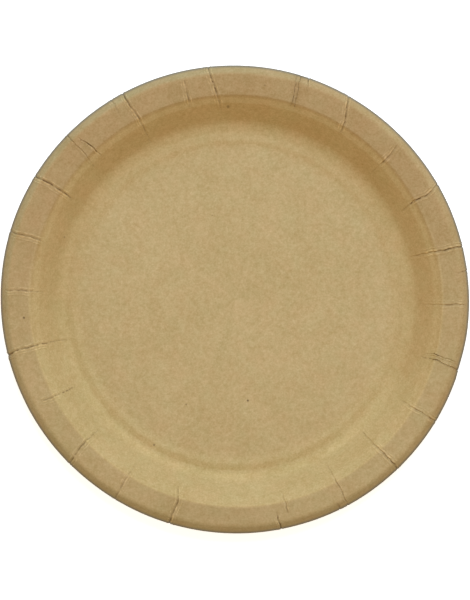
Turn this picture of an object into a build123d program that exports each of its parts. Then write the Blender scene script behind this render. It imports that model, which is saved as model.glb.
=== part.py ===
from build123d import *
import os
from math import ceil, degrees, radians, sin, tan

# Paper plate of kraft board: one round blank, scored round its edge and pressed into a dish.
# Millimetres, +Z up. The origin is the middle of the underside, where the plate rests.

# Overall size and board
PLATE_RADIUS = 115.0
BOARD = 0.45

# Section of the upper face, as the run outwards and the rise of each stretch between two corners
BEAD_FLANK_RUN = 2.3
BEAD_CREST_RUN = 2.9
BEAD_RISE = 0.55
WALL_RUN = 9.0
WALL_RISE = 11.4
LEDGE_RUN = 2.8
LEDGE_RISE = 1.9
STEP_RUN = 1.4
STEP_RISE = 1.3
FLANGE_RUN = 11.2
FLANGE_RISE = 0.4
LIP_RUN = 2.6
LIP_DROP = 4.4

# Bends of the upper face, each drawn in straight bands that turn no more than BAND_TURN
FOOT_BEND = 7.5
SHOULDER_BEND = 1.2
LIP_BEND = 3.6
BAND_TURN = 27.0

# Pleats: at a score the board doubles back on itself in a Z and is pressed flat
SCORE_COUNT = 24
FIRST_SCORE = 13.5
FLAT_SCORE = 17
STRAY_SCORE = 5
STRAY_TURN = 7.0
PLEAT_WIDTH = 1.9
FOLD_LIFT_AT_FOOT = 0.04
FOLD_LIFT_AT_RIM = 0.24
FOLD_PROUD = 0.12


def bend(before, corner, after, radius):
    """Points along the arc that rounds a corner of the section."""
    back = (before - corner).normalized()
    ahead = (after - corner).normalized()
    turn = 180 - back.get_angle(ahead)
    reach = radius * tan(radians(turn / 2))
    centre = corner + (back + ahead).normalized() * (radius**2 + reach**2) ** 0.5
    first = corner + back * reach - centre
    last = corner + ahead * reach - centre
    bands = ceil(turn / BAND_TURN)
    arc = []
    for band in range(bands + 1):
        turned = radians(turn * band / bands)
        left = radians(turn) - turned
        arc.append(centre + (first * sin(left) + last * sin(turned)) / sin(radians(turn)))
    return arc


def beside(line, depths):
    """The line moved to its right, square to its stretches, by its own depth at each point."""
    runs = [(end - start).normalized() for start, end in zip(line, line[1:])]
    squares = [Vector(run.Y, -run.X) for run in runs]
    moved = []
    for point, depth, one, two in zip(line, depths, squares[:1] + squares, squares + squares[-1:]):
        middle = (one + two).normalized()
        moved.append(point + middle * (depth / middle.dot(one)))
    return moved


def upright_strip(line, upper, lower):
    """Upright face between two lines that lie beside the section's line."""
    outline = beside(line, upper) + beside(line, lower)[::-1]
    return Plane.XZ * make_face(Polyline(*outline, close=True))


def section_line():
    """Upper face of the board, first from the middle to the foot of the wall, then on to the rim."""
    stretches = [
        (LIP_RUN, -LIP_DROP),
        (FLANGE_RUN, FLANGE_RISE),
        (STEP_RUN, STEP_RISE),
        (LEDGE_RUN, LEDGE_RISE),
        (WALL_RUN, WALL_RISE),
    ]
    corners = [Vector(PLATE_RADIUS, 0)]
    for run, rise in stretches:
        corners.insert(0, corners[0] - Vector(run, rise))
    foot, ledge, step, shoulder, lip, rim = corners
    middle = Vector(0, foot.Y)
    foot_arc = bend(middle, foot, ledge, FOOT_BEND)
    crest_end = foot_arc[0] + Vector(-BEAD_FLANK_RUN, BEAD_RISE)
    crest_start = crest_end - Vector(BEAD_CREST_RUN, 0)
    bead_start = crest_start - Vector(BEAD_FLANK_RUN, BEAD_RISE)
    dish = [middle, bead_start, crest_start, crest_end, *foot_arc]
    shoulder_arc = bend(step, shoulder, lip, SHOULDER_BEND)
    lip_arc = bend(shoulder, lip, rim, LIP_BEND)
    wall = [foot_arc[-1], ledge, step, *shoulder_arc, *lip_arc, rim]
    lowest = min(point.Y for point in beside(dish, [BOARD] * len(dish)))
    rest = Vector(0, lowest)
    return [point - rest for point in dish], [point - rest for point in wall]


def fold_layer(wall):
    """Middle layer of a pleat, which passes from over the board at one crease to under it at the other."""
    foot, rim = wall[0], wall[-1]
    growth = (FOLD_LIFT_AT_RIM - FOLD_LIFT_AT_FOOT) / (rim.X - foot.X)
    lifts = [FOLD_LIFT_AT_FOOT + growth * (point.X - foot.X) for point in wall]
    past_rim = rim + (rim - wall[-2]).normalized() * FOLD_PROUD
    line = wall[:-1] + [past_rim]
    half_turn = degrees(PLEAT_WIDTH / PLATE_RADIUS) / 2
    creases = []
    for side in (-1, 1):
        upper = [side * lift for lift in lifts]
        lower = [depth + BOARD for depth in upper]
        creases.append(Rot(0, 0, side * half_turn) * upright_strip(line, upper, lower))
    return loft(creases, ruled=True)


def plate():
    dish, wall = section_line()
    line = dish + wall[1:]
    board = revolve(upright_strip(line, [0] * len(line), [BOARD] * len(line)), Axis.Z)
    layer = fold_layer(wall)
    pleats = []
    for score in range(SCORE_COUNT):
        if score == FLAT_SCORE:
            continue
        stray = STRAY_TURN if score == STRAY_SCORE else 0
        pleats.append(Rot(0, 0, FIRST_SCORE + score * 360 / SCORE_COUNT + stray) * layer)
    return board + pleats


os.makedirs("parts", exist_ok=True)
export_step(plate(), "parts/plate.step")
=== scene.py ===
from math import ceil, cos, degrees, pi, radians, sin, tan

import bpy
import numpy as np
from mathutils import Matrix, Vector


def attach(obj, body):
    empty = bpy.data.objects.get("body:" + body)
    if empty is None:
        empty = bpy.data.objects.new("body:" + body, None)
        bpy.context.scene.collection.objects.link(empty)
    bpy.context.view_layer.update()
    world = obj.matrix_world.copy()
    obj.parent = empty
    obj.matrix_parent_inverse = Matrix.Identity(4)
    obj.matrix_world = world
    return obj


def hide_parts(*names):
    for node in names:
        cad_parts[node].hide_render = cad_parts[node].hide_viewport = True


# Paper plate of kraft board, seen from straight above. Lengths are in millimetres, and in metres where
# a comment or a name says so.
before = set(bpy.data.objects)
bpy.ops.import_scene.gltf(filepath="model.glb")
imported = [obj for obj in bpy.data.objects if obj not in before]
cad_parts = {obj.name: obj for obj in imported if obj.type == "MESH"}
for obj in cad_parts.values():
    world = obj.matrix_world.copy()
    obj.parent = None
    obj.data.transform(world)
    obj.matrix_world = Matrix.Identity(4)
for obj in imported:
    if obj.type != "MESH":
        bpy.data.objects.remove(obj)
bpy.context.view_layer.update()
MM = 0.001

# Section of the upper face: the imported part's, with a softer bead and every bend drawn as a smooth arc.
# Each corner is (radius from the middle, height, radius of its bend).
PLATE_RADIUS = 115.0
BOARD = 0.45
REST_HEIGHT = 0.462
DISH_RADIUS = 76.0
DISH_FLOOR = (70.0, 0.0)
BEAD_START = (77.2, 0.0, 6.0)
BEAD_CREST = (79.5, 0.6, 3.5)
BEAD_FALL = (80.4, 0.6, 2.5)
BEAD_END = (83.2, 0.04, 1.8)
FOOT = (87.0, 0.05, 8.0)
LEDGE = (97.0, 11.4, 1.8)
STEP = (99.6, 13.3, 1.5)
SHOULDER = (101.0, 14.6, 1.3)
LIP = (111.6, 15.0, 3.2)
RIM = (115.0, 10.3)
ARC_TURN = 8.0
LONGEST_ROW = 1.9
SHORTEST_ROW = 0.04
CENTRE_ROWS = [0.0, 9.0, 18.0, 27.0, 36.0, 44.0, 51.0, 57.0, 62.5, 67.0, 70.5, 73.3, 75.2]

# A pleat across its crease, as (place before it folds, place folded, height, scorch and painted shade).
# From the left it has a low ridge, the dip into the slit, the nose that hangs over it, and a low ridge
# where the layers end.
FOLD = [
    (-2.4, -2.4, 0.0, 0.0), (-1.85, -1.85, 0.01, 0.0), (-1.5, -1.5, 0.24, 0.0),
    (-1.2, -1.2, 0.03, 0.0), (-0.8, -0.82, 0.04, 0.15), (-0.58, -0.64, -0.03, 0.5),
    (-0.4, -0.44, -0.2, 0.8), (-0.22, -0.14, -0.3, 1.0), (-0.06, 0.02, -0.18, 1.0),
    (0.08, -0.04, 0.0, 0.8), (0.22, 0.06, 0.13, 0.4), (0.4, 0.3, 0.18, 0.1),
    (0.7, 0.7, 0.15, 0.0), (1.1, 1.1, 0.03, 0.0), (1.45, 1.45, 0.02, 0.0),
    (1.75, 1.75, 0.24, 0.0), (2.1, 2.1, 0.02, 0.0), (2.6, 2.6, 0.0, 0.0),
]
CREASE_CORE = 0.42
CORE_ROOM = 0.06
LEAST_ROOM = 0.02
GAP_SHARE = 0.47
FOLD_OVERLAP = 1.0
PLEAT_FOOT = 88.0

# Creases, each as (radius, angle) points from its inner end to its outer end, how bold it is, how deep a
# nick it leaves in the rim, which side is the upper one (1 anticlockwise), and its scorch and painted
# shade in the slit as (radius, darkness)
CREASES = [
    ([(109, 6.9), (115, 7.3)], 0.5, 0.0, 1,
     [(109, 0.3), (115, 0.7)]),
    ([(88, 14.0), (100, 13.9), (105, 13.7), (115, 13.2)], 1.0, 0.1, 1,
     [(97, 0.25), (104, 0.5), (107, 0.9), (111, 0.8), (114, 0.3)]),
    ([(92, 28.3), (99, 29.3), (105, 29.0), (109, 28.7), (115, 29.9)], 0.9, 0.05, 1,
     [(96, 0.4), (99, 0.9), (104, 0.9), (108, 0.4)]),
    ([(90, 43.4), (101, 43.3), (111, 43.7)], 0.7, 0.0, 1,
     [(98, 0.3), (100.5, 0.9), (103, 0.3), (108, 0.1)]),
    ([(95, 58.0), (103, 58.7), (108, 59.6), (115, 61.1)], 0.75, 0.05, 1,
     [(100, 0.3), (105, 0.7), (113, 0.7), (115, 0.4)]),
    ([(107, 70.4), (115, 71.6)], 0.7, 0.05, -1,
     [(107, 0.2), (111, 0.5), (115, 0.4)]),
    ([(97, 73.2), (104, 73.4), (112, 73.6), (115, 73.7)], 0.6, 0.0, 1,
     [(97, 0.6), (103, 0.5), (109, 0.3), (115, 0.2)]),
    ([(98, 74.3), (104, 74.1), (112, 74.3), (115, 74.4)], 0.5, 0.0, -1,
     [(98, 0.4), (103, 0.6), (109, 0.3)]),
    ([(92, 94.8), (101, 95.3), (108, 96.1), (115, 96.9)], 1.0, 0.0, 1,
     [(95, 0.3), (99, 0.5), (101, 0.9), (108, 0.9), (111, 0.4)]),
    ([(95, 103.6), (102, 103.3), (111, 103.1)], 0.7, 0.0, 1,
     [(98, 0.3), (102, 0.5), (108, 0.3)]),
    ([(87, 118.4), (100, 118.3), (107, 118.5), (115, 118.8)], 1.0, 0.2, 1,
     [(90, 0.3), (99, 0.5), (108, 0.6), (112, 0.7), (114, 1.2)]),
    ([(106, 122.3), (115, 121.7)], 0.5, 0.0, 1,
     [(106, 0.15), (115, 0.25)]),
    ([(94, 133.0), (101, 133.2), (105, 133.4), (109, 134.2)], 0.9, 0.0, 1,
     [(97, 0.25), (100, 0.5), (102, 0.9), (106, 0.9), (109, 0.4)]),
    ([(94, 137.1), (100, 136.3), (105, 135.9), (115, 135.8)], 0.7, 0.0, 1,
     [(96, 0.6), (101, 0.3), (106, 0.4), (115, 0.4)]),
    ([(93, 148.3), (101, 148.2), (107, 148.1), (115, 148.5)], 1.1, 0.05, 1,
     [(93, 0.3), (96, 0.7), (109, 0.9), (112, 0.5), (115, 0.6)]),
    ([(96, 163.6), (102, 163.1), (106, 162.9), (110, 163.4), (115, 163.3)], 0.75, 0.05, 1,
     [(97, 0.6), (103, 0.3), (107, 0.5), (115, 0.5)]),
    ([(92, 177.9), (101, 177.5), (106, 177.7), (113, 177.9)], 0.6, 0.0, 1,
     [(93, 0.5), (99, 0.4), (104, 0.6), (111, 0.3)]),
    ([(84, 193.3), (91, 193.0), (98, 192.7), (108, 193.2), (115, 193.9)], 0.95, 0.45, 1,
     [(88, 0.3), (98, 0.6), (102, 0.5), (109, 0.6), (112, 1.4)]),
    ([(89, 208.7), (98, 208.0), (104, 208.0), (108, 207.6)], 0.75, 0.0, 1,
     [(91, 0.6), (97, 0.8), (103, 0.6), (106, 0.2)]),
    ([(90, 223.3), (101, 223.3), (105, 223.5), (109, 224.3), (115, 224.9)], 0.7, 0.0, 1,
     [(92, 0.3), (100, 0.4), (107, 0.6), (113, 0.4)]),
    ([(92, 238.9), (100, 238.5), (106, 238.6), (115, 239.1)], 0.5, 0.0, 1,
     [(93, 0.3), (102, 0.3), (109, 0.4), (115, 0.5)]),
    ([(91, 252.4), (100, 253.5), (104, 254.1), (110, 253.8), (115, 254.0)], 0.75, 0.2, 1,
     [(92, 0.1), (99, 0.3), (104, 0.6), (115, 0.6)]),
    ([(105, 280.8), (115, 281.4)], 0.9, 0.1, -1,
     [(106, 0.3), (109, 0.8), (115, 0.6)]),
    ([(94, 283.4), (104, 283.9), (107, 284.0)], 0.7, 0.0, 1,
     [(94, 0.2), (104, 0.3)]),
    ([(111, 296.9), (115, 296.7)], 0.8, 0.15, 1,
     [(111, 0.6), (115, 0.8)]),
    ([(89, 299.0), (106, 299.2), (115, 298.8)], 0.55, 0.1, 1,
     [(90, 0.2), (97, 0.4), (109, 0.3), (115, 0.4)]),
    ([(87, 313.9), (100, 314.0), (112, 314.2), (115, 314.1)], 0.75, 0.0, 1,
     [(89, 0.3), (100, 0.4), (105, 0.7), (112, 0.7), (115, 0.4)]),
    ([(92, 328.8), (105, 329.0), (115, 328.7)], 0.6, 0.0, 1,
     [(93, 0.2), (101, 0.3), (105, 0.5), (111, 0.5), (115, 0.2)]),
    ([(94, 343.2), (99, 343.4), (103, 343.6), (107, 342.9), (115, 342.6)], 0.8, 0.1, 1,
     [(95, 0.5), (98, 0.9), (103, 0.9), (106, 0.2)]),
    ([(96, 344.3), (101, 344.7), (105, 344.3), (112, 344.1)], 0.7, 0.0, -1,
     [(97, 0.6), (103, 0.9), (106, 0.2)]),
    ([(88, 358.7), (104, 358.9), (109, 358.9), (113, 358.6)], 0.55, 0.0, 1,
     [(89, 0.3), (98, 0.3), (105, 0.5), (111, 0.3)]),
]
NICK_WIDTH = 0.7
CRUMPLE_WIDTH = 1.9
GAP_COLUMN = 1.75
FOLD_TURN = 3.2

# How far a crease wanders to its sides, in degrees, and how unevenly it is folded along its length
WANDER = (0.04, 0.09)
WANDER_SIZES = (0.7, 1.4, 3.1)
UNEVEN = 0.19
UNEVEN_SIZES = (0.6, 1.3, 2.4)

# The pressed blank isn't quite round or flat, and the dish isn't quite in its middle
OVAL_GROWTH = 0.49
OVAL_AXIS = 138.0
WALL_SHIFT = (0.6, -0.4)
BEAD_SHIFT = (-0.4, -0.8)
RIM_STEP = 0.05
RIM_RIPPLE = 0.12
RIM_DENT = 0.35
DENT_START = (341.5, 342.5)
DENT_END = (343.0, 352.0)
FLANGE_WAVE = 0.3
CENTRE_WAVE = 0.15
EDGE_BULGE = 0.06


def round_corner(before, corner, after):
    """Points along the arc that rounds a corner of the section."""
    middle, radius = Vector(corner[:2]), corner[2]
    back = (Vector(before[:2]) - middle).normalized()
    ahead = (Vector(after[:2]) - middle).normalized()
    turn = pi - back.angle(ahead)
    reach = radius * tan(turn / 2)
    centre = middle + (back + ahead).normalized() * (radius**2 + reach**2) ** 0.5
    first = middle + back * reach - centre
    last = middle + ahead * reach - centre
    count = max(2, ceil(degrees(turn) / ARC_TURN))
    arc = []
    for step in range(count + 1):
        turned = turn * step / count
        arc.append(centre + (first * sin(turn - turned) + last * sin(turned)) / sin(turn))
    return arc


def section_rows():
    """Rows of the upper face from the middle to the rim, and the way square to the face at each."""
    bead = [BEAD_START, BEAD_CREST, BEAD_FALL, BEAD_END]
    corners = [DISH_FLOOR, *bead, FOOT, LEDGE, STEP, SHOULDER, LIP, RIM]
    line = []
    for before, corner, after in zip(corners, corners[1:], corners[2:]):
        line += round_corner(before, corner, after)
    line.append(Vector(RIM))
    rows = [Vector((radius, 0.0)) for radius in CENTRE_ROWS]
    for point in line:
        start = rows[-1]
        if (point - start).length < SHORTEST_ROW:
            continue
        count = ceil((point - start).length / LONGEST_ROW)
        rows += [start.lerp(point, step / count) for step in range(1, count + 1)]
    rows = np.array([tuple(row) for row in rows])
    along = np.gradient(rows, axis=0)
    along /= np.linalg.norm(along, axis=1)[:, None]
    square = np.stack([-along[:, 1], along[:, 0]], axis=1)
    rows[:, 1] += REST_HEIGHT
    return rows, square


def smooth_noise(angles, waves, seed):
    """Gentle ups and downs round the plate, from -1 to 1, that meet where the round closes."""
    draw = np.random.default_rng(seed)
    total = np.zeros_like(angles)
    for wave in waves:
        total += draw.uniform(0.4, 1.0) * np.sin(wave * np.radians(angles) + draw.uniform(0, 2 * pi))
    return total / len(waves)


def fade(value, start, end):
    """0 before start, 1 after end, and a smooth turn between them."""
    t = np.clip((value - start) / (end - start), 0, 1)
    return t * t * (3 - 2 * t)


def crease_path(points, radii, seed):
    """The crease's angle at each row: its own bends, rounded off, and a slight wander."""
    fine = np.linspace(0, 120, 481)
    angle = np.interp(fine, [p[0] for p in points], [p[1] for p in points])
    angle = np.convolve(np.pad(angle, 6, mode="edge"), np.ones(13) / 13, mode="valid")
    draw = np.random.default_rng(seed)
    wander = np.zeros_like(fine)
    for size in WANDER_SIZES:
        wander += draw.uniform(*WANDER) * np.sin(fine / size + draw.uniform(0, 2 * pi))
    return np.interp(radii, fine, angle + wander * fade(fine, 84, 90))


def crease_strength(points, bold, radii, seed):
    """How far the board is folded at each row, from 0 where the crease hasn't begun."""
    draw = np.random.default_rng(seed)
    uneven = 1 + sum(UNEVEN * np.sin(radii / size + draw.uniform(0, 2 * pi)) for size in UNEVEN_SIZES)
    inner, outer = points[0][0], points[-1][0]
    strength = fade(radii, inner - 1.0, inner + 5.0)
    if outer < PLATE_RADIUS - 0.5:
        strength = strength * (1 - fade(radii, outer - 3.0, outer + 1.5))
    return bold * strength * uneven * (0.4 + 0.6 * fade(radii, 94, 104))


def fold_places(paths, k, underside):
    """The places across crease k, from left to right, drawn together where creases crowd."""
    before, here, after = paths[k - 1], paths[k], paths[(k + 1) % len(paths)]
    gaps = [np.min((here - before) % 360), np.min((after - here) % 360)]
    half_gap = GAP_SHARE * radians(min(gaps)) * PLEAT_FOOT
    room = min(1.0, max(half_gap - CREASE_CORE, LEAST_ROOM) / (FOLD[-1][0] - CREASE_CORE))
    squeeze = min(1.0, half_gap / (CREASE_CORE + CORE_ROOM))
    upper_side = CREASES[k][3]
    mirrored = -upper_side if underside else upper_side
    shift = FOLD_OVERLAP * upper_side * room if underside else 0.0
    places = []
    for flat, folded, height, scorch_and_shade in FOLD[::mirrored]:
        wide = (min(abs(flat), CREASE_CORE) + max(abs(flat) - CREASE_CORE, 0) * room) * squeeze
        drawn = shift + wide * (1 if flat > 0 else -1) * mirrored
        pressed = drawn + (folded - flat) * mirrored * squeeze
        places.append((drawn, pressed, height, scorch_and_shade, abs(flat)))
    return places, shift


def fold_columns(radii, underside):
    """Every column's angle, lift, scorch and painted shade, nick and crumple at each row, and its stretch
    of the rim.
    """
    pleat_radii = np.maximum(radii, PLEAT_FOOT)
    none = np.zeros_like(radii)
    paths = [crease_path(crease[0], radii, 40 + k) for k, crease in enumerate(CREASES)]
    angles, lifts, scorches_and_shades, nicks, crumples, stretches = [], [], [], [], [], []
    for k, (points, bold, nick, upper_side, darknesses) in enumerate(CREASES):
        strength = crease_strength(points, bold, radii, 80 + k)
        darkness = np.interp(radii, *zip(*darknesses)) * fade(strength, 0.0, 0.4)
        places, shift = fold_places(paths, k, underside)
        for number, (flat, folded, height, scorch_and_shade, away) in enumerate(places):
            across = flat + (folded - flat) * strength
            angles.append(paths[k] + np.degrees(across / pleat_radii))
            lifts.append(height * strength * (-1 if underside else 1))
            scorches_and_shades.append(darkness * scorch_and_shade)
            nicks.append(none + nick * np.exp(-((away / NICK_WIDTH) ** 2)))
            crumples.append(strength * np.exp(-((away / CRUMPLE_WIDTH) ** 2)))
            stretches.append(k + min(max((number - 5) / 4, 0), 1))
        after = (k + 1) % len(CREASES)
        first = fold_places(paths, after, underside)[0][0][0]
        ahead = paths[after] + np.degrees(first / pleat_radii) + (360 if after == 0 else 0)
        start = angles[-1]
        gap = float(np.mean(paths[after] - paths[k])) % 360
        count = max(1, round((gap - FOLD_TURN) / GAP_COLUMN))
        for step in range(1, count):
            angles.append(start + (ahead - start) * step / count)
            stretches.append(k + 1)
            for part in (lifts, scorches_and_shades, nicks, crumples):
                part.append(none)
    columns = [np.stack(part, axis=1) for part in (angles, lifts, scorches_and_shades, nicks, crumples)]
    return columns + [np.array(stretches)]


def settle(rows, square, depth, angles, lifts, scorches_and_shades, nicks, crumples, stretches):
    """Points of one face of the board, with its folds and its own unevenness."""
    radii = rows[:, :1]
    radius = radii + square[:, :1] * (lifts - depth)
    height = rows[:, 1:] + square[:, 1:] * (lifts - depth)
    draw = np.random.default_rng(7)
    steps = draw.uniform(-1, 1, len(CREASES))
    step_out = np.interp(stretches, np.arange(len(CREASES) + 1), [*steps, steps[0]]) * RIM_STEP
    ripple = RIM_RIPPLE * smooth_noise(angles, (5, 8, 13), 3)
    oval = OVAL_GROWTH * np.cos(2 * np.radians(angles - OVAL_AXIS))
    rim = fade(radii, 103, 114.5)
    dent = RIM_DENT * fade(angles % 360, *DENT_START) * (1 - fade(angles % 360, *DENT_END))
    radius = radius + fade(radii, 60, 112) * oval + rim * (step_out + ripple - dent) - rim**6 * nicks
    wave = FLANGE_WAVE * smooth_noise(angles, (2, 3, 5), 11)
    swell = 0.5 + 0.5 * smooth_noise(angles, (1, 2, 3), 5)
    warp = CENTRE_WAVE * swell * np.sin(pi * np.clip(radii / DISH_RADIUS, 0, 1))
    height = height + fade(radii, 90, 112) * wave + warp
    turned = np.radians(angles)
    inside = fade(radii, 0, 40)
    wall_shift = inside * (1 - fade(radii, 101, 112))
    bead_shift = inside * (1 - fade(radii, 82, 87))
    across = radius * np.cos(turned) + WALL_SHIFT[0] * wall_shift + BEAD_SHIFT[0] * bead_shift
    along = radius * np.sin(turned) + WALL_SHIFT[1] * wall_shift + BEAD_SHIFT[1] * bead_shift
    return np.stack([across, along, height], axis=2)


def plate_mesh():
    """The pressed board as one closed skin: upper face, cut edge and underside."""
    rows, square = section_rows()
    radii = rows[:, 0]
    upper = fold_columns(radii, False)
    under = fold_columns(radii, True)
    top = settle(rows, square, 0.0, *upper)
    bottom = settle(rows, square, BOARD, *under)
    outward = top[-1] - top[-2]
    outward /= np.linalg.norm(outward, axis=1)[:, None]
    edge = [top[-1] + (bottom[-1] - top[-1]) * share + outward * EDGE_BULGE for share in (0.2, 0.8)]
    grid = np.concatenate([top[1:], np.stack(edge), bottom[:0:-1]])
    lines, count = grid.shape[:2]
    points = np.concatenate([top[0].mean(0)[None], grid.reshape(-1, 3), bottom[0].mean(0)[None]])
    here = np.arange(count)
    after = (here + 1) % count
    quads = []
    for line in range(lines - 1):
        start, following = 1 + line * count, 1 + (line + 1) * count
        quads.append(np.stack([start + here, following + here, following + after, start + after], axis=1))
    last = 1 + (lines - 1) * count
    upper_middle = np.stack([np.zeros(count, int), 1 + here, 1 + after], axis=1)
    under_middle = np.stack([last + here, np.full(count, len(points) - 1), last + after], axis=1)
    faces = np.concatenate(quads).tolist() + upper_middle.tolist() + under_middle.tolist()
    mesh = bpy.data.meshes.new("pressed_plate")
    mesh.from_pydata((points * MM).tolist(), [], faces)
    mesh.shade_smooth()
    upper_lines = len(radii)
    side = np.repeat(np.arange(lines - 1) >= upper_lines, count).astype(int)
    side = np.concatenate([side, np.zeros(count, int), np.ones(count, int)])
    mesh.polygons.foreach_set("material_index", side.astype(np.int32))

    edge_radii = [PLATE_RADIUS + 1] * 2
    per_line = np.concatenate([radii[1:], edge_radii, radii[:0:-1]])
    scorch_and_shade = np.concatenate([upper[2][1:], upper[2][-1:], under[2][-1:], under[2][:0:-1]])
    lift = np.concatenate([upper[1][1:], 0 * upper[1][-1:], 0 * under[1][-1:], -under[1][:0:-1]])
    crumple = np.concatenate([upper[4][1:], upper[4][-1:], under[4][-1:], under[4][:0:-1]])
    marks = {
        "section_radius": np.repeat(per_line, count),
        "scorch_and_shade": scorch_and_shade.ravel(),
        "fold_lift": lift.ravel(),
        "crumple": crumple.ravel(),
    }
    for name, values in marks.items():
        layer = mesh.attributes.new(name, "FLOAT", "POINT")
        layer.data.foreach_set("value", np.concatenate([[0.0], values, [0.0]]).astype(np.float32))
    return mesh


# Finishes

# The board's own colour, and how its grain and its hue clouds change red, green and blue
BOARD_COLOUR = (0.516, 0.384, 0.184)
PULP_TINT = (1.0, 1.2, 1.95)
HUE_TINT = (1.0, -0.6, -0.4)
FOLD_WEAR_AND_LIGHT_TINT = (1.0, 1.05, 1.2)
SPECK_COLOUR = (0.12, 0.075, 0.03, 1.0)
CREASE_SCORCH_AND_SHADE = (0.12, 0.055, 0.012, 1.0)
RIM_EDGE_AND_SHADE_COLOUR = (0.2, 0.185, 0.14, 1.0)

# Painted light and shade: what the flange, lip and wall colours are multiplied by on the side near the
# light and on the far side, and the azimuths of the sides
FLANGE_TINT_NEAR_LIGHT = (0.91, 0.895, 0.885, 1.0)
FLANGE_SHADE_FAR = (0.818, 0.733, 0.685, 1.0)
LOW_FLANGE_SHADE = (0.94, 0.93, 0.92, 1.0)
LIP_SHADE_NEAR = (0.79, 0.82, 0.83, 1.0)
LIP_SHADE_FAR = (0.88, 0.84, 0.81, 1.0)
WALL_LIGHT_NEAR = (1.04, 1.05, 1.0, 1.0)
WALL_SHADE_FAR = (0.98, 0.935, 0.86, 1.0)
FAR_SIDE = 92.0
FAR_WALL = 80.0
FAR_LIP = 20.0
LOW_SIDE = 267.0
FOOT_SIDE = 265.0

# Where each band starts and ends, as radii of the section: painted shade on the wall, flange and lip, bends
# that are partly worn and partly painted highlight, and a darker rim that is partly the cut edge's colour
# and partly painted shade
SHADED_FLANGE = (100.6, 102.4)
SHADED_FLANGE_FAR = (98.8, 101.8)
SHADED_LIP = (110.2, 112.2)
SHADED_WALL = (72.0, 84.5)
WALL_END = (101.0, 102.4)
WORN_LIT_SHOULDER = (100.4, 101.2, 101.5, 102.6)
LIT_FOOT = (84.4, 86.2, 87.0, 90.5)
WORN_LIT_LIP = (109.8, 111.0, 111.4, 112.4)
DARK_RIM = (113.4, 114.8)
DARK_RIM_DEPTH = 0.85

# Pulp and wrinkles: waves for each millimetre, and then how strongly each part of them shows
FINE_WAVES = 1.15
COARSE_WAVES = 0.4
CLOUD_WAVES = 0.075
PATCH_WAVES = 0.02
HUE_WAVES = 0.09
WRINKLE_WAVES = 0.9
CREASE_DARK_WAVES = 0.42
FOLD_LIGHT_WAVES = 0.5
FINE_SHARE = 0.65
COARSE_SHARE = 0.35
PATCH_SHARE = 0.7
GRAIN_DEPTH = 0.68
CLOUD_DEPTH = 0.17
FIBRE_DEPTH = 0.06
HUE_DEPTH = 0.11
WEAR_AND_HIGHLIGHT_DEPTH = 0.08
BARK_DEPTH = 0.45
CREASE_DARK_LEAST = 0.14
CREASE_DARK_MOST = 0.86
CREASE_DARK_BREAKS = 1.6
FOLD_LIGHT_LEAST = 0.06
FOLD_LIGHT_MOST = 0.34
CRUMPLE_DEPTH = 3.0
BUMP_STRENGTH = 0.35
BUMP_METRES = 0.0001
BOARD_ROUGHNESS = 0.8
BOARD_SHINE = 0.25
# Millimetres in a metre, for the textures' places
MM_SCALE = 1000.0

# Fibres, as (turn of the strands, their stretch)
FIBRES = [(20, (0.28, 2.6, 1.0)), (78, (0.3, 2.9, 1.0)), (137, (0.25, 2.4, 1.0))]
# Bark, as (cells for each millimetre, size of a speck in its cell, share of the cells left plain)
BARK = [(0.16, 0.045, 0.86), (0.45, 0.07, 0.93)]

# Marks of their own in the board, as (across, up, size, darkness)
SPECKS = [
    (-103.4, -9.0, 0.75, 0.8), (-39.8, -71.7, 0.75, 0.6), (-3.3, 94.7, 1.0, 0.5), (14.7, 105.0, 0.5, 0.45),
    (6.4, -49.9, 0.75, 0.8), (-24.0, -51.8, 0.6, 0.5), (-11.2, 41.4, 0.35, 0.5), (-83.9, 30.7, 0.6, 0.4),
]


def link(tree, value, socket):
    """Joins a socket to another, or sets a plain value on it."""
    if isinstance(value, bpy.types.NodeSocket):
        tree.links.new(value, socket)
    else:
        socket.default_value = value


def sum_up(tree, operation, *values):
    """A Math node's result."""
    node = tree.nodes.new("ShaderNodeMath")
    node.operation = operation
    for value, socket in zip(values, node.inputs):
        link(tree, value, socket)
    return node.outputs[0]


def spread(tree, value, low, high, to_low=0.0, to_high=1.0):
    """A value's range turned into another, smoothly and clamped."""
    node = tree.nodes.new("ShaderNodeMapRange")
    node.interpolation_type = "SMOOTHSTEP"
    titles = ("Value", "From Min", "From Max", "To Min", "To Max")
    for title, given in zip(titles, (value, low, high, to_low, to_high)):
        link(tree, given, node.inputs[title])
    return node.outputs["Result"]


def noise(tree, place, scale, detail, roughness=0.5, warp=0.0):
    """A Noise Texture's value, centred on 0. Its scale is for each millimetre."""
    node = tree.nodes.new("ShaderNodeTexNoise")
    link(tree, place, node.inputs["Vector"])
    link(tree, scale, node.inputs["Scale"])
    link(tree, detail, node.inputs["Detail"])
    link(tree, roughness, node.inputs["Roughness"])
    link(tree, warp, node.inputs["Distortion"])
    return sum_up(tree, "SUBTRACT", node.outputs["Fac"], 0.5)


def turned_place(tree, place, turn, stretch):
    """The place turned round Z and stretched, so that a texture on it has a grain direction."""
    node = tree.nodes.new("ShaderNodeMapping")
    link(tree, place, node.inputs["Vector"])
    node.inputs["Rotation"].default_value = (0, 0, radians(turn))
    node.inputs["Scale"].default_value = stretch
    return node.outputs["Vector"]


def tint(tree, mask, colour, other, blend="MIX"):
    """A colour mixed with another by a mask."""
    node = tree.nodes.new("ShaderNodeMix")
    node.data_type = "RGBA"
    node.blend_type = blend
    link(tree, mask, node.inputs["Factor"])
    link(tree, colour, node.inputs["A"])
    link(tree, other, node.inputs["B"])
    return node.outputs["Result"]


def new_group(name, inputs, outputs):
    """An empty shader node group with its sockets, and its two end nodes."""
    group = bpy.data.node_groups.new(name, "ShaderNodeTree")
    for way, sockets in (("INPUT", inputs), ("OUTPUT", outputs)):
        for title, kind in sockets:
            group.interface.new_socket(title, in_out=way, socket_type="NodeSocket" + kind)
    return group, group.nodes.new("NodeGroupInput").outputs, group.nodes.new("NodeGroupOutput").inputs


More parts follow.
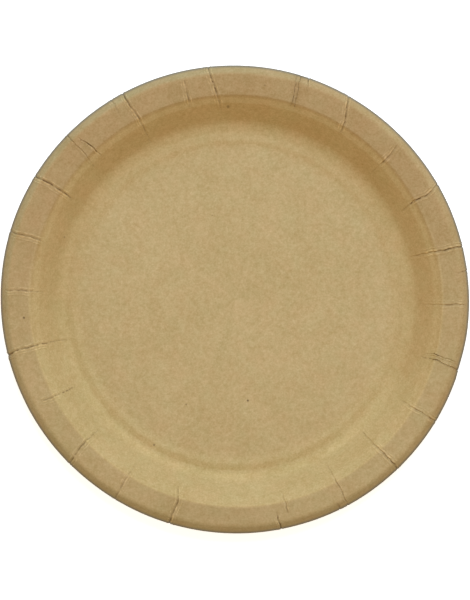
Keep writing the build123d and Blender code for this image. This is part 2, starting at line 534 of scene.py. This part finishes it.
def pulp_group():
    """Kraft pulp: its grain, its cloudy look, single fibres and dark specks of bark."""
    inputs = [("Place", "Vector")]
    titles = ["Grain", "Cloud", "Hue Cloud", "Fibre", "Speck"]
    group, given, result = new_group("kraft_pulp", inputs, [(title, "Float") for title in titles])
    place = given["Place"]
    fine = sum_up(group, "MULTIPLY", noise(group, place, FINE_WAVES, 1.5, 0.7), FINE_SHARE)
    coarse = sum_up(group, "MULTIPLY", noise(group, place, COARSE_WAVES, 1.5, 0.6), COARSE_SHARE)
    patch = sum_up(group, "MULTIPLY", noise(group, place, PATCH_WAVES, 1.0), PATCH_SHARE)
    fibre = 0.0
    for turn, stretch in FIBRES:
        strand = noise(group, turned_place(group, place, turn, stretch), 1.0, 1.0, 0.5, 0.9)
        fibre = sum_up(group, "MAXIMUM", fibre, spread(group, strand, 0.14, 0.26))
    specks = 0.0
    for scale, size, plain in BARK:
        cell = group.nodes.new("ShaderNodeTexVoronoi")
        link(group, place, cell.inputs["Vector"])
        cell.inputs["Scale"].default_value = scale
        picked = group.nodes.new("ShaderNodeSeparateColor")
        link(group, cell.outputs["Color"], picked.inputs[0])
        chosen = sum_up(group, "GREATER_THAN", picked.outputs[0], plain)
        dot = spread(group, cell.outputs["Distance"], size * 0.4, size, 1.0, 0.0)
        specks = sum_up(group, "MAXIMUM", specks, sum_up(group, "MULTIPLY", chosen, dot))
    link(group, sum_up(group, "ADD", fine, coarse), result["Grain"])
    link(group, sum_up(group, "ADD", noise(group, place, CLOUD_WAVES, 3.0, 0.55), patch), result["Cloud"])
    link(group, noise(group, place, HUE_WAVES, 3.0, 0.65), result["Hue Cloud"])
    link(group, fibre, result["Fibre"])
    link(group, specks, result["Speck"])
    return group


def use_group(tree, group, **given):
    """A group placed in a material, with its inputs set."""
    node = tree.nodes.new("ShaderNodeGroup")
    node.node_tree = group
    for name, value in given.items():
        link(tree, value, node.inputs[name.replace("_", " ")])
    return node.outputs


def grey(value):
    return (value, value, value, 1.0)


def times(tree, colour, other, mask=1.0):
    """A colour multiplied by another where the mask is."""
    return tint(tree, mask, colour, other, "MULTIPLY")


def varied(tree, colour, amount, share):
    """A colour that grows lighter and darker by an amount, each channel by its own share of it."""
    grown = tree.nodes.new("ShaderNodeVectorMath")
    grown.operation = "MULTIPLY"
    link(tree, amount, grown.inputs[0])
    grown.inputs[1].default_value = share
    node = tree.nodes.new("ShaderNodeVectorMath")
    node.operation = "MULTIPLY_ADD"
    link(tree, grown.outputs[0], node.inputs[0])
    link(tree, colour, node.inputs[1])
    link(tree, colour, node.inputs[2])
    return node.outputs[0]


def facing(tree, way, azimuth, low, high):
    """How far a place lies towards an azimuth, from 0 to 1."""
    node = tree.nodes.new("ShaderNodeVectorMath")
    node.operation = "DOT_PRODUCT"
    link(tree, way, node.inputs[0])
    node.inputs[1].default_value = (cos(radians(azimuth)), sin(radians(azimuth)), 0.0)
    return spread(tree, node.outputs["Value"], low, high)


def band(tree, value, start, full, fading, end):
    """1 between full and fading, and 0 before start and after end."""
    fall = spread(tree, value, fading, end, 1.0, 0.0)
    return sum_up(tree, "MULTIPLY", spread(tree, value, start, full), fall)


def shade_and_wear_group():
    """Painted light and shade on the upper face: wall, flange and lip tinted by their side to the light,
    and paler bends, partly wear and partly painted highlight.
    """
    inputs = [("Place", "Vector"), ("Radius", "Float"), ("Cloud", "Float")]
    titles = ["Far", "Wall Far", "Lip Far", "Wall", "Flange", "Low Flange", "Lip", "Wear And Highlight"]
    group, given, result = new_group("shade_and_wear_marks", inputs, [(title, "Float") for title in titles])
    radius = given["Radius"]
    turned = group.nodes.new("ShaderNodeVectorMath")
    turned.operation = "NORMALIZE"
    link(group, given["Place"], turned.inputs[0])
    way = turned.outputs[0]
    # Sides of the plate for the painted shade: far from the light, near it, and the low side
    far = facing(group, way, FAR_SIDE, -0.5, 0.6)
    near = sum_up(group, "SUBTRACT", 1.0, far)

    lip = spread(group, radius, *SHADED_LIP)
    shaded_flange_far_band = sum_up(group, "MULTIPLY", spread(group, radius, *SHADED_FLANGE_FAR), far)
    shaded_flange_band = sum_up(group, "MAXIMUM", spread(group, radius, *SHADED_FLANGE), shaded_flange_far_band)
    flange = sum_up(group, "SUBTRACT", shaded_flange_band, lip)
    plain = sum_up(group, "SUBTRACT", 1.0, spread(group, shaded_flange_band, 0.0, 1.0))
    wall = sum_up(group, "MULTIPLY", spread(group, radius, *SHADED_WALL), plain)
    wall = sum_up(group, "MULTIPLY", wall, spread(group, radius, *WALL_END, 1.0, 0.0))

    # Painted highlight on the shoulder and foot on the side facing the light; the lip bend is paler all
    # round, partly wear and partly painted highlight
    shoulder = sum_up(group, "MULTIPLY", band(group, radius, *WORN_LIT_SHOULDER), near)
    foot_facing = facing(group, way, FOOT_SIDE, 0.45, 0.85)
    foot = sum_up(group, "MULTIPLY", band(group, radius, *LIT_FOOT), foot_facing)
    wear_and_highlight = sum_up(group, "MAXIMUM", sum_up(group, "MULTIPLY", shoulder, 0.7), foot)
    bend = sum_up(group, "MULTIPLY", band(group, radius, *WORN_LIT_LIP), 0.3)
    wear_and_highlight = sum_up(group, "MAXIMUM", wear_and_highlight, bend)
    patchy = spread(group, given["Cloud"], -0.16, 0.12, 0.45, 1.0)

    low = facing(group, way, LOW_SIDE, 0.9, 1.0)
    link(group, far, result["Far"])
    link(group, facing(group, way, FAR_WALL, -0.6, 0.1), result["Wall Far"])
    link(group, facing(group, way, FAR_LIP, 0.0, 0.9), result["Lip Far"])
    link(group, wall, result["Wall"])
    link(group, flange, result["Flange"])
    link(group, sum_up(group, "MULTIPLY", flange, low), result["Low Flange"])
    link(group, lip, result["Lip"])
    link(group, sum_up(group, "MULTIPLY", wear_and_highlight, patchy), result["Wear And Highlight"])
    return group


def speck_group():
    """One dark speck of bark on the board, ragged at its edge."""
    inputs = [("Place", "Vector"), ("Spot", "Vector"), ("Size", "Float"), ("Depth", "Float")]
    group, given, result = new_group("bark_speck", inputs, [("Mask", "Float")])
    level = group.nodes.new("ShaderNodeVectorMath")
    level.operation = "MULTIPLY"
    link(group, given["Place"], level.inputs[0])
    level.inputs[1].default_value = (1, 1, 0)
    away = group.nodes.new("ShaderNodeVectorMath")
    away.operation = "DISTANCE"
    link(group, level.outputs[0], away.inputs[0])
    link(group, given["Spot"], away.inputs[1])
    frayed = sum_up(group, "MULTIPLY", noise(group, given["Place"], 2.5, 1.0), 0.3)
    ragged = sum_up(group, "ADD", away.outputs["Value"], frayed)
    near = spread(group, sum_up(group, "DIVIDE", ragged, given["Size"]), 0.35, 1.0, 1.0, 0.0)
    link(group, sum_up(group, "MULTIPLY", near, given["Depth"]), result["Mask"])
    return group


def board_material(name, upper):
    """One side of the board. The upper side has the painted light and shade and the worn bends, the
    underside is plainer.
    """
    material = bpy.data.materials.new(name)
    material.use_nodes = True
    tree = material.node_tree
    shader = tree.nodes["Principled BSDF"]
    here = tree.nodes.new("ShaderNodeTexCoord")
    large = tree.nodes.new("ShaderNodeVectorMath")
    large.operation = "SCALE"
    link(tree, here.outputs["Object"], large.inputs[0])
    large.inputs["Scale"].default_value = MM_SCALE
    place = large.outputs[0]
    marks = {}
    for mark in ("section_radius", "scorch_and_shade", "fold_lift", "crumple"):
        node = tree.nodes.new("ShaderNodeAttribute")
        node.attribute_name = mark
        marks[mark] = node.outputs["Fac"]

    look = use_group(tree, pulp, Place=place)
    amount = 0.0
    for title, depth in (("Grain", GRAIN_DEPTH), ("Cloud", CLOUD_DEPTH), ("Fibre", FIBRE_DEPTH)):
        amount = sum_up(tree, "MULTIPLY_ADD", look[title], depth, amount)
    colour = varied(tree, BOARD_COLOUR, amount, PULP_TINT)
    colour = varied(tree, colour, sum_up(tree, "MULTIPLY", look["Hue Cloud"], HUE_DEPTH), HUE_TINT)
    speck = sum_up(tree, "MULTIPLY", look["Speck"], BARK_DEPTH)
    if upper:
        shade_and_wear_masks = use_group(
            tree, shade_and_wear_marks, Place=place, Radius=marks["section_radius"], Cloud=look["Cloud"]
        )
        # Painted light and shade: wall, flange and lip darker on the side away from the light and lighter
        # near it, and the low flange darker towards the bottom
        wall_tint = tint(tree, shade_and_wear_masks["Wall Far"], WALL_LIGHT_NEAR, WALL_SHADE_FAR)
        flange_tint = tint(tree, shade_and_wear_masks["Far"], FLANGE_TINT_NEAR_LIGHT, FLANGE_SHADE_FAR)
        lip_tint = tint(tree, shade_and_wear_masks["Lip Far"], LIP_SHADE_NEAR, LIP_SHADE_FAR)
        colour = times(tree, colour, wall_tint, shade_and_wear_masks["Wall"])
        colour = times(tree, colour, flange_tint, shade_and_wear_masks["Flange"])
        colour = times(tree, colour, LOW_FLANGE_SHADE, shade_and_wear_masks["Low Flange"])
        colour = times(tree, colour, lip_tint, shade_and_wear_masks["Lip"])
        # Paler bends: partly wear, partly painted highlight
        colour = varied(tree, colour, sum_up(tree, "MULTIPLY", shade_and_wear_masks["Wear And Highlight"], WEAR_AND_HIGHLIGHT_DEPTH), (1.0, 1.0, 1.0))
        # Raised fold noses paler: partly worn fibre, partly painted highlight
        fold_wear_and_light = spread(tree, marks["fold_lift"], 0.04, 0.14)
        fold_light_patches = spread(tree, noise(tree, place, FOLD_LIGHT_WAVES, 1.0), -0.1, 0.1, FOLD_LIGHT_LEAST, FOLD_LIGHT_MOST)
        colour = varied(tree, colour, sum_up(tree, "MULTIPLY", fold_wear_and_light, fold_light_patches), FOLD_WEAR_AND_LIGHT_TINT)
        for x, y, size, depth in SPECKS:
            own = use_group(tree, bark_speck, Place=place, Spot=(x, y, 0), Size=size, Depth=depth)
            speck = sum_up(tree, "MAXIMUM", speck, own["Mask"])
    colour = tint(tree, speck, colour, SPECK_COLOUR)

    # Crease slits darker brown, broken into patches: partly scorch, partly painted shade in the slit
    wrinkle = noise(tree, place, WRINKLE_WAVES, 2.0, 0.6)
    patches = noise(tree, place, CREASE_DARK_WAVES, 1.0)
    shown = spread(tree, patches, -0.11, 0.09, CREASE_DARK_LEAST, CREASE_DARK_MOST)
    broken = sum_up(tree, "MULTIPLY_ADD", wrinkle, CREASE_DARK_BREAKS, shown)
    colour = tint(tree, sum_up(tree, "MULTIPLY", marks["scorch_and_shade"], broken), colour, CREASE_SCORCH_AND_SHADE)
    # Darker grey-brown towards the rim: partly the cut edge's colour, partly painted shade on the steep
    # outer lip
    dark_rim_edge_and_shade = spread(tree, marks["section_radius"], *DARK_RIM, 0.0, DARK_RIM_DEPTH)
    colour = tint(tree, dark_rim_edge_and_shade, colour, RIM_EDGE_AND_SHADE_COLOUR)
    link(tree, colour, shader.inputs["Base Color"])

    crumpled = sum_up(tree, "MULTIPLY", marks["crumple"], wrinkle)
    height = sum_up(tree, "MULTIPLY_ADD", crumpled, CRUMPLE_DEPTH, look["Grain"])
    bump = tree.nodes.new("ShaderNodeBump")
    bump.inputs["Strength"].default_value = BUMP_STRENGTH
    bump.inputs["Distance"].default_value = BUMP_METRES
    link(tree, height, bump.inputs["Height"])
    link(tree, bump.outputs["Normal"], shader.inputs["Normal"])
    shader.inputs["Roughness"].default_value = BOARD_ROUGHNESS
    shader.inputs["Specular IOR Level"].default_value = BOARD_SHINE
    return material


pulp = pulp_group()
shade_and_wear_marks = shade_and_wear_group()
bark_speck = speck_group()
plate = bpy.data.objects.new("pressed_plate", plate_mesh())
bpy.context.scene.collection.objects.link(plate)
plate.data.materials.append(board_material("kraft_upper", True))
plate.data.materials.append(board_material("kraft_underside", False))
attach(plate, "root")
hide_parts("plate")

# Floor, in metres. It shows white to the camera and gives the plate plain light.
FLOOR_REACH = 3
FLOOR_DROP = 0.0001
FLOOR_GLOW = 0.72
floor_mesh = bpy.data.meshes.new("floor")
floor_corners = [(FLOOR_REACH * x, FLOOR_REACH * y, 0) for x, y in ((-1, -1), (1, -1), (1, 1), (-1, 1))]
floor_mesh.from_pydata(floor_corners, [], [(0, 1, 2, 3)])
floor = bpy.data.objects.new("floor", floor_mesh)
floor.location = (0, 0, -FLOOR_DROP)
bpy.context.scene.collection.objects.link(floor)
white = bpy.data.materials.new("white_floor")
white.use_nodes = True
floor_tree = white.node_tree
paint = floor_tree.nodes["Principled BSDF"]
paint.inputs["Base Color"].default_value = grey(0.9)
paint.inputs["Roughness"].default_value = 1.0
paint.inputs["Specular IOR Level"].default_value = 0.0
paint.inputs["Emission Color"].default_value = grey(1.0)
rays = floor_tree.nodes.new("ShaderNodeLightPath")
glow = sum_up(floor_tree, "MULTIPLY", rays.outputs["Is Camera Ray"], FLOOR_GLOW)
link(floor_tree, glow, paint.inputs["Emission Strength"])
floor.data.materials.append(white)

# Light: a warm room, and one cool softbox towards the top of the picture
ROOM_LIGHT = (0.66, 0.52, 0.34)
KEY_LIGHT = (0.34, 0.48, 0.66)
scene = bpy.context.scene
scene.view_settings.view_transform = "Standard"
world = bpy.data.worlds.new("studio")
scene.world = world
world.use_nodes = True
world.node_tree.nodes["Background"].inputs["Color"].default_value = (*ROOM_LIGHT, 1)
world.node_tree.nodes["Background"].inputs["Strength"].default_value = 1.0


def softbox(name, azimuth, elevation, distance, width, light):
    """Lamp that faces the plate. Light is what it gives a level white board, where 1 shows it white."""
    lamp = bpy.data.lights.new(name, "AREA")
    lamp.shape = "DISK"
    lamp.size = width
    lamp.color = light
    lamp.energy = pi * pi * distance**2 / sin(radians(elevation))
    stand = bpy.data.objects.new(name, lamp)
    flat = cos(radians(elevation))
    way = Vector((flat * cos(radians(azimuth)), flat * sin(radians(azimuth)), sin(radians(elevation))))
    stand.location = way * distance
    stand.rotation_euler = way.to_track_quat("Z", "Y").to_euler()
    scene.collection.objects.link(stand)


softbox("key_softbox", azimuth=80, elevation=52, distance=1.8, width=1.4, light=KEY_LIGHT)

# Camera straight above, in metres. The plate fills the frame's width, measured at the height of its rim.
FRAME_HEIGHT = 0.2945
DISTANCE = 2.5
RIM_HEIGHT = 0.012
SENSOR = 36
CAMERA_ACROSS = 0.00008
CAMERA_UP = -0.00028
lens = bpy.data.cameras.new("camera")
camera = bpy.data.objects.new("camera", lens)
lens.sensor_fit = "VERTICAL"
lens.sensor_height = SENSOR
lens.lens = SENSOR * (DISTANCE - RIM_HEIGHT) / FRAME_HEIGHT
lens.clip_end = 20
camera.location = (CAMERA_ACROSS, CAMERA_UP, DISTANCE)
scene.collection.objects.link(camera)
scene.camera = camera
